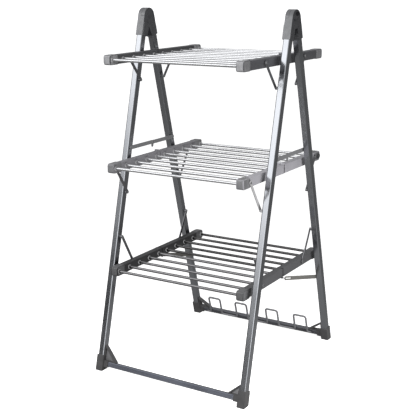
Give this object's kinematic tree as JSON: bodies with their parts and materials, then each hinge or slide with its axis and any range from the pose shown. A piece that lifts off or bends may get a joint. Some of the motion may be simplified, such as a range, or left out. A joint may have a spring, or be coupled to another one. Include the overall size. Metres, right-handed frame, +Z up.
{
  "type": "heated clothes airer",
  "caption": "Free-standing folding heated airer: two hinged pairs of legs carry tiers of heated bars, with a wire shoe rack on the rear crossbar.",
  "frame": {"origin": "centre of the footprint, on the floor under the main hinge", "axes": "+X to the right across the front, -Y the front, +Z up"},
  "size_m": [0.738, 0.8402, 1.5225],
  "materials": {
    "leg": "grey anodised, satin",
    "crossbar": "dark blue-grey, satin",
    "foot": "dark grey",
    "hinge_cap": "mid grey",
    "top_rail": "grey, satin",
    "middle_rail": "grey, satin",
    "bottom_rail": "dark grey, satin",
    "top_bar": "polished",
    "middle_bar": "polished",
    "bottom_bar": "dark, polished",
    "heating_core": "matte silicone",
    "strut": "dark, satin",
    "spreader": "dark, satin",
    "rack_wire": "dark grey, satin",
    "switch_housing": "dark grey",
    "switch_button": "black"
  },
  "bodies": {
    "front_frame": {"front_crossbar": "crossbar", "front_left_leg": "leg", "front_left_foot": "foot", "front_left_hinge_cap": "hinge_cap", "front_right_leg": "leg", "front_right_foot": "foot", "front_right_hinge_cap": "hinge_cap"},
    "front_spreaders": {"front_left_spreader": "spreader", "front_right_spreader": "spreader"},
    "rear_frame": {"rear_crossbar": "crossbar", "rear_left_leg": "leg", "rear_left_foot": "foot", "rear_left_hinge_cap": "hinge_cap", "rear_right_leg": "leg", "rear_right_foot": "foot", "rear_right_hinge_cap": "hinge_cap", "shoe_rack_wire": "rack_wire"},
    "rear_spreaders": {"rear_left_spreader": "spreader", "rear_right_spreader": "spreader"},
    "top_front_struts": {"top_front_left_strut": "strut", "top_front_right_strut": "strut"},
    "top_front_wing": {"top_front_bars": "top_bar", "top_front_heating_cores": "heating_core", "top_front_left_rail": "top_rail", "top_front_right_rail": "top_rail"},
    "top_rear_struts": {"top_rear_left_strut": "strut", "top_rear_right_strut": "strut"},
    "top_rear_wing": {"top_rear_bars": "top_bar", "top_rear_heating_cores": "heating_core", "top_rear_left_rail": "top_rail", "top_rear_right_rail": "top_rail"},
    "middle_front_struts": {"middle_front_left_strut": "strut", "middle_front_right_strut": "strut"},
    "middle_front_wing": {"middle_front_bars": "middle_bar", "middle_front_heating_cores": "heating_core", "middle_front_left_rail": "middle_rail", "middle_front_right_rail": "middle_rail"},
    "middle_rear_struts": {"middle_rear_left_strut": "strut", "middle_rear_right_strut": "strut"},
    "middle_rear_wing": {"middle_rear_bars": "middle_bar", "middle_rear_heating_cores": "heating_core", "middle_rear_left_rail": "middle_rail", "middle_rear_right_rail": "middle_rail", "switch_bezel": "switch_housing", "cord_gland": "switch_housing"},
    "bottom_front_struts": {"bottom_front_left_strut": "strut", "bottom_front_right_strut": "strut"},
    "bottom_front_wing": {"bottom_front_bars": "bottom_bar", "bottom_front_heating_cores": "heating_core", "bottom_front_left_rail": "bottom_rail", "bottom_front_right_rail": "bottom_rail"},
    "bottom_rear_struts": {"bottom_rear_left_strut": "strut", "bottom_rear_right_strut": "strut"},
    "bottom_rear_wing": {"bottom_rear_bars": "bottom_bar", "bottom_rear_heating_cores": "heating_core", "bottom_rear_left_rail": "bottom_rail", "bottom_rear_right_rail": "bottom_rail"},
    "bottom_stays": {"bottom_left_stay": "strut", "bottom_right_stay": "strut"},
    "switch_button": {"switch_button": "switch_button"}
  },
  "joints": [
    {"name": "main_fold", "type": "hinge", "parent": "front_frame", "child": "rear_frame", "pos_m": [0, 0, 1.485], "axis": [-1, 0, 0], "range_deg": [0, 28.76]},
    {"name": "top_front_strut_turn", "type": "hinge", "parent": "front_frame", "child": "top_front_struts", "pos_m": [0, -0.08772, 1.222], "axis": [-1, 0, 0], "range_deg": [0, 52.59]},
    {"name": "top_front_wing_turn", "type": "hinge", "parent": "top_front_struts", "child": "top_front_wing", "pos_m": [0, -0.172, 1.326], "axis": [-1, 0, 0], "range_deg": [0, 51.83]},
    {"name": "top_rear_wing_turn", "type": "hinge", "parent": "top_front_wing", "child": "top_rear_wing", "pos_m": [0, 0, 1.3476], "axis": [1, 0, 0], "range_deg": [0, 180.02]},
    {"name": "top_rear_strut_turn", "type": "hinge", "parent": "rear_frame", "child": "top_rear_struts", "pos_m": [0, 0.08772, 1.222], "axis": [1, 0, 0], "range_deg": [0, 52.59]},
    {"name": "middle_front_strut_turn", "type": "hinge", "parent": "front_frame", "child": "middle_front_struts", "pos_m": [0, -0.20822, 0.752], "axis": [-1, 0, 0], "range_deg": [0, 46.68]},
    {"name": "middle_front_wing_turn", "type": "hinge", "parent": "middle_front_struts", "child": "middle_front_wing", "pos_m": [0, -0.292, 0.881], "axis": [-1, 0, 0], "range_deg": [0, 57.74]},
    {"name": "middle_rear_wing_turn", "type": "hinge", "parent": "middle_front_wing", "child": "middle_rear_wing", "pos_m": [0, 0, 0.9026], "axis": [1, 0, 0], "range_deg": [0, 180.02]},
    {"name": "middle_rear_strut_turn", "type": "hinge", "parent": "rear_frame", "child": "middle_rear_struts", "pos_m": [0, 0.20822, 0.752], "axis": [1, 0, 0], "range_deg": [0, 46.68]},
    {"name": "bottom_front_strut_turn", "type": "hinge", "parent": "front_frame", "child": "bottom_front_struts", "pos_m": [0, -0.25616, 0.565], "axis": [-1, 0, 0], "range_deg": [0, 44.33]},
    {"name": "bottom_front_wing_turn", "type": "hinge", "parent": "bottom_front_struts", "child": "bottom_front_wing", "pos_m": [0, -0.183, 0.434], "axis": [1, 0, 0], "range_deg": [0, 119.95]},
    {"name": "bottom_rear_wing_turn", "type": "hinge", "parent": "bottom_front_wing", "child": "bottom_rear_wing", "pos_m": [0, 0, 0.4124], "axis": [-1, 0, 0], "range_deg": [0, 180.02]},
    {"name": "bottom_rear_strut_turn", "type": "hinge", "parent": "rear_frame", "child": "bottom_rear_struts", "pos_m": [0, 0.25616, 0.565], "axis": [1, 0, 0], "range_deg": [0, 44.33]},
    {"name": "front_spreader_turn", "type": "hinge", "parent": "front_frame", "child": "front_spreaders", "pos_m": [0, -0.16053, 0.938], "axis": [1, 0, 0], "range_deg": [0, 68.61]},
    {"name": "rear_spreader_turn", "type": "hinge", "parent": "rear_frame", "child": "rear_spreaders", "pos_m": [0, 0.16053, 0.938], "axis": [-1, 0, 0], "range_deg": [0, 68.61]},
    {"name": "bottom_stay_turn", "type": "hinge", "parent": "rear_frame", "child": "bottom_stays", "pos_m": [0, 0.31718, 0.327], "axis": [-1, 0, 0], "range_deg": [0, 56.54]},
    {"name": "switch_press", "type": "slide", "parent": "middle_rear_wing", "child": "switch_button", "axis": [-1, 0, 0], "range_m": [0, 0.002], "stiffness_N_per_m": 800, "springref_m": -0.001}
  ],
  "couplings": [
    {"joint": "top_front_strut_turn", "follows": "main_fold", "ratio": 1.8278},
    {"joint": "top_front_wing_turn", "follows": "main_fold", "ratio": 1.8015},
    {"joint": "top_rear_wing_turn", "follows": "main_fold", "ratio": 6.2587},
    {"joint": "top_rear_strut_turn", "follows": "main_fold", "ratio": 1.8278},
    {"joint": "middle_front_strut_turn", "follows": "main_fold", "ratio": 1.6223},
    {"joint": "middle_front_wing_turn", "follows": "main_fold", "ratio": 2.0071},
    {"joint": "middle_rear_wing_turn", "follows": "main_fold", "ratio": 6.2587},
    {"joint": "middle_rear_strut_turn", "follows": "main_fold", "ratio": 1.6223},
    {"joint": "bottom_front_strut_turn", "follows": "main_fold", "ratio": 1.5406},
    {"joint": "bottom_front_wing_turn", "follows": "main_fold", "ratio": 4.1699},
    {"joint": "bottom_rear_wing_turn", "follows": "main_fold", "ratio": 6.2587},
    {"joint": "bottom_rear_strut_turn", "follows": "main_fold", "ratio": 1.5406},
    {"joint": "front_spreader_turn", "follows": "main_fold", "ratio": 2.3849},
    {"joint": "rear_spreader_turn", "follows": "main_fold", "ratio": 2.3849},
    {"joint": "bottom_stay_turn", "follows": "main_fold", "ratio": 1.9651}
  ]
}
